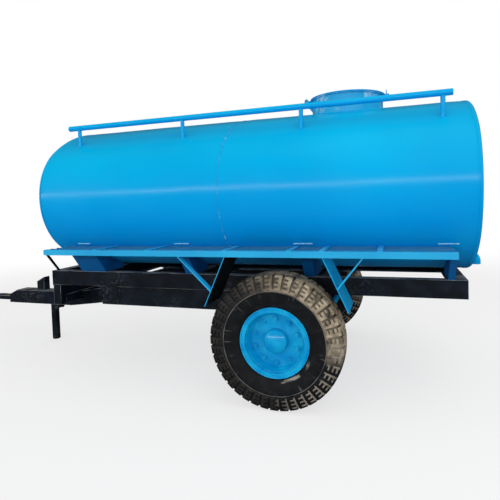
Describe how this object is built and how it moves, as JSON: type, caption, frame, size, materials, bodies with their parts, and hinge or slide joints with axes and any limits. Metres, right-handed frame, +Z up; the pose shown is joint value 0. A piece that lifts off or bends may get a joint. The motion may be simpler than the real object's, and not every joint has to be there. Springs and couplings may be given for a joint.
{
  "type": "water tank trailer",
  "caption": "Single-axle trailer with an oval steel water tank, manhole lid, shoulder handrails, side walkways, splash flaps, drawbar with towing eye and a folding parking leg.",
  "frame": {"origin": "on the floor, midway along the length and on the middle plane", "axes": "+X from the towing eye to the rear, +Y away from the pictured side, +Z up"},
  "size_m": [4.7502, 1.9742, 2.2163],
  "materials": {
    "blue_paint": "gloss enamel",
    "black_paint": "dusty chassis enamel",
    "tyre": "dusty rubber",
    "bare_steel": "worn pin steel"
  },
  "bodies": {
    "chassis": {"tank_front_course": "blue_paint", "tank_rear_course": "blue_paint", "tank_front_head": "blue_paint", "tank_rear_head": "blue_paint", "outlet_elbow": "blue_paint", "manhole_collar": "blue_paint", "lid_hinge_lugs": "blue_paint", "lid_hinge_pin": "bare_steel", "lid_hasp": "blue_paint", "handrail_left": "blue_paint", "handrail_right": "blue_paint", "handrail_posts_left": "blue_paint", "handrail_posts_right": "blue_paint", "chassis_rail_left": "black_paint", "chassis_rail_right": "black_paint", "cross_members": "black_paint", "saddles_left": "blue_paint", "saddles_right": "blue_paint", "lower_beam_left": "black_paint", "lower_beam_right": "black_paint", "drawbar_nose": "black_paint", "drawbar_arm_left": "black_paint", "drawbar_arm_right": "black_paint", "front_posts": "black_paint", "lower_cross_member": "black_paint", "hitch_eye": "black_paint", "drawbar_upright": "black_paint", "leg_lugs": "black_paint", "leg_pin": "bare_steel", "axle": "black_paint", "axle_seats": "black_paint", "axle_clamps": "black_paint", "walkway_left": "blue_paint", "walkway_right": "blue_paint", "walkway_stays": "blue_paint", "flaps_left": "blue_paint", "flaps_right": "blue_paint", "flap_struts_left": "blue_paint", "flap_struts_right": "blue_paint"},
    "wheel_left": {"tyre_left": "tyre", "rim_left": "blue_paint", "hub_left": "blue_paint"},
    "wheel_right": {"tyre_right": "tyre", "rim_right": "blue_paint", "hub_right": "blue_paint"},
    "lid": {"manhole_lid": "blue_paint"},
    "leg": {"parking_leg": "black_paint"}
  },
  "joints": [
    {"name": "wheel_left_spin", "type": "hinge", "parent": "chassis", "child": "wheel_left", "pos_m": [1.02192, -0.867, 0.445], "axis": [0, 1, 0], "continuous": true},
    {"name": "wheel_right_spin", "type": "hinge", "parent": "chassis", "child": "wheel_right", "pos_m": [1.02192, 0.867, 0.445], "axis": [0, 1, 0], "continuous": true},
    {"name": "lid_open", "type": "hinge", "parent": "chassis", "child": "lid", "pos_m": [1.10193, 0, 2.1543], "axis": [0, -1, 0], "range_deg": [0, 110]},
    {"name": "leg_fold", "type": "hinge", "parent": "chassis", "child": "leg", "pos_m": [-1.52307, 0, 0.339], "axis": [0, -1, 0], "range_deg": [0, 90]}
  ]
}
